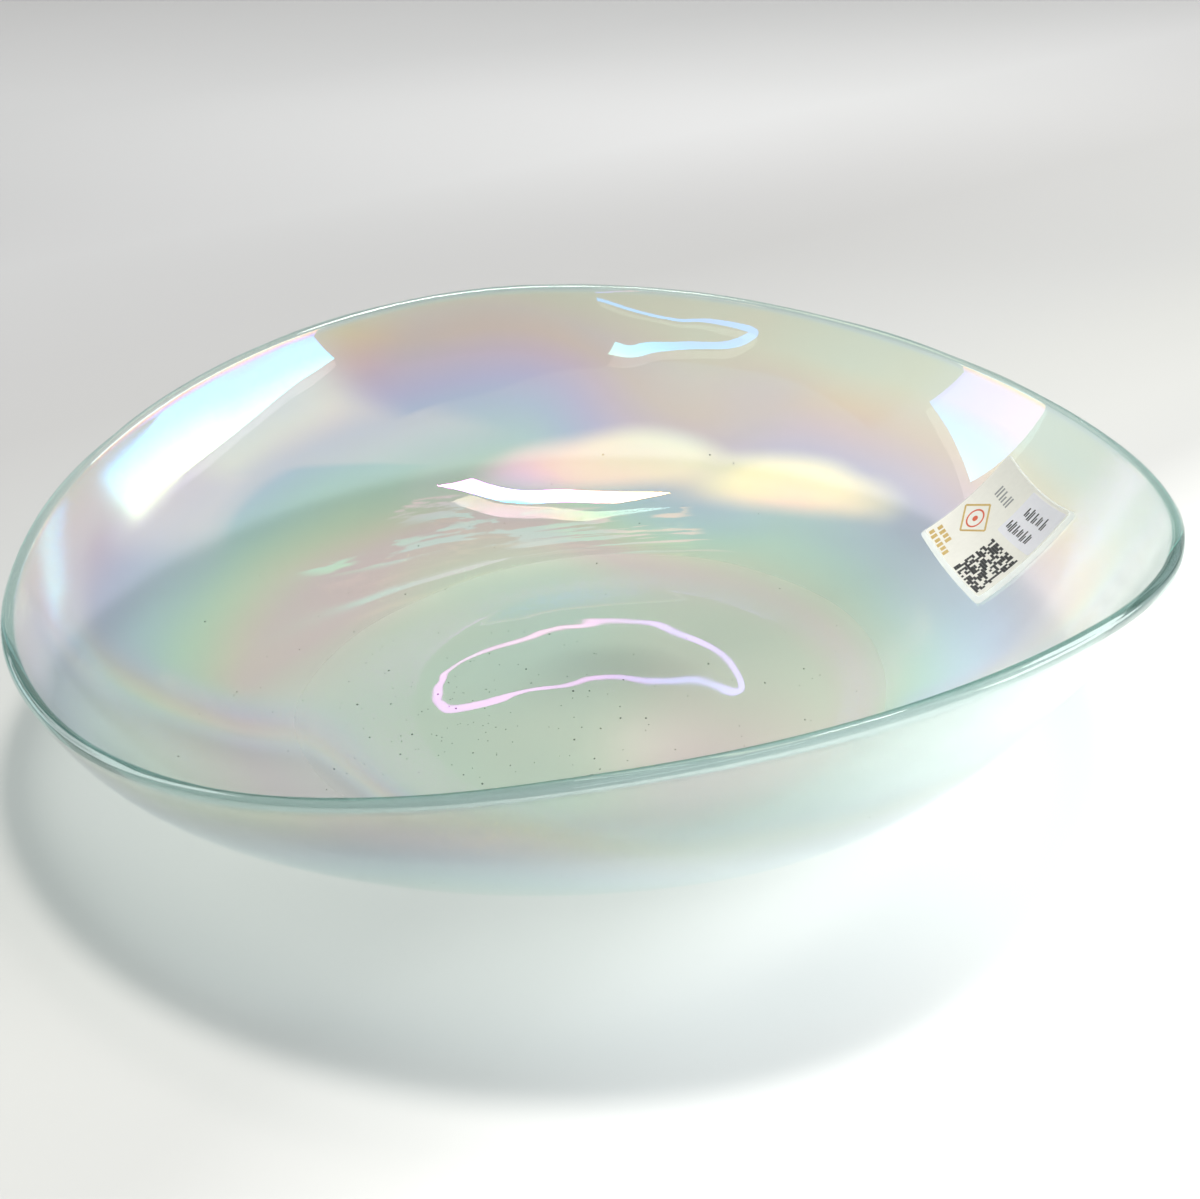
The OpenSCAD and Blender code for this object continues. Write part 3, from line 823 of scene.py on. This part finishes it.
def patch(az0, az1, el0, el1, soft_a, soft_e):
    mid, half = (az0 + az1) / 2, (az1 - az0) / 2
    wrapped = wg.n("ShaderNodeMath", operation="WRAP")
    wg.link(wg.math("SUBTRACT", AZ, mid), wrapped.inputs[0])
    wrapped.inputs[1].default_value, wrapped.inputs[2].default_value = 180.0, -180.0
    a = wg.smooth(wg.math("ABSOLUTE", wrapped.outputs[0]), half - soft_a / 2, half + soft_a / 2, 1.0, 0.0)
    e0 = wg.smooth(ELV, el0 - soft_e / 2, el0 + soft_e / 2)
    e1 = wg.smooth(ELV, el1 - soft_e / 2, el1 + soft_e / 2, 1.0, 0.0)
    return wg.math("MULTIPLY", a, wg.math("MULTIPLY", e0, e1))


def blob(az, el, radius, soft):
    """1 within radius degrees of a direction, falling to 0 over soft degrees."""
    d = direction(az, el)
    dot = wg.n("ShaderNodeVectorMath", operation="DOT_PRODUCT")
    wg.link(geo.outputs["Generated"], dot.inputs[0])
    dot.inputs[1].default_value = tuple(d)
    ang = wg.math("MULTIPLY", wg.math("ARCCOSINE", wg.math("MINIMUM", dot.outputs["Value"], 0.99999)), 57.2958)
    return wg.smooth(ang, radius, radius + soft, 1.0, 0.0)


col = wg.mix(wg.smooth(ELV, 20, 85), (0.54, 0.55, 0.57), (0.60, 0.61, 0.65))
col = wg.mix(patch(52, 124, -10, 62, 10, 16), col, (1.35, 1.33, 1.38))
col = wg.mix(patch(52, 86, 22, 46, 5, 6), col, (1.9, 1.75, 2.2))
col = wg.mix(patch(84, 113, 25, 43, 12, 12), col, (2.75, 2.75, 2.45))
col = wg.mix(patch(116, 262, -20, 50, 10, 2), col, (0.30, 0.285, 0.27))
col = wg.mix(patch(1, 56, -20, 57, 14, 3), col, (0.46, 0.46, 0.44))
col = wg.mix(patch(16, 76, -8, 16, 14, 8), col, (1.35, 1.38, 1.48))
col = wg.mix(patch(8, 90, 50, 66, 4, 4), col, (0.36, 0.37, 0.34))
leaf = wg.n("ShaderNodeTexNoise", inputs={"Vector": geo.outputs["Generated"], "Scale": 16.0, "Detail": 4.0, "Roughness": 0.6})
leaf = wg.math("MULTIPLY", wg.smooth(leaf.outputs["Fac"], 0.50, 0.57), wg.math("MAXIMUM", wg.math("MAXIMUM", patch(1, 56, 63.5, 69, 3, 2), patch(1, 30, 56, 64.5, 3, 2)), patch(0, 8, 46, 57, 2, 2)))
col = wg.mix(wg.math("MULTIPLY", leaf, 0.8), col, (3.9, 3.5, 2.1))
col = wg.mix(blob(-50, 59, 3, 9), col, (3.2, 3.0, 2.3))
col = wg.mix(blob(-48, 72, 6, 12), col, (5.6, 5.5, 4.2))
col = wg.mix(blob(80, 85, 6, 10), col, (4.6, 4.2, 3.7))
bg = wg.n("ShaderNodeBackground")
wg.link(col, bg.inputs["Color"])
bg.inputs["Strength"].default_value = 0.40
wg.link(bg.outputs[0], wg.n("ShaderNodeOutputWorld").inputs["Surface"])

# camera: 30 degrees above the table, 330 mm from the middle of the base
F, U0, V0, D = 1552.6, 613.7, 712.1, 330.0
EL = math.radians(30.0)
rt = Vector((1, 0, 0)); up = Vector((0, math.sin(EL), math.cos(EL))); fw = Vector((0, math.cos(EL), -math.sin(EL)))
X0, Y0 = (U0 - 600) * D / F, -(V0 - 599.5) * D / F
cpos = -rt * X0 - up * Y0 - fw * D
cam_d = bpy.data.cameras.new("camera")
cam_d.sensor_width = 36.0
cam_d.sensor_fit = "HORIZONTAL"
cam_d.lens = F / 1200 * 36.0
cam_d.clip_start = 0.01
cam = bpy.data.objects.new("camera", cam_d)
m = Matrix((rt, up, -fw)).transposed().to_4x4()
m.translation = Vector(((cpos.x - MX) * MM, (cpos.y - MY) * MM, cpos.z * MM))
cam.matrix_world = m
COL.objects.link(cam)
SC.camera = cam
SC.view_settings.view_transform = "Standard"
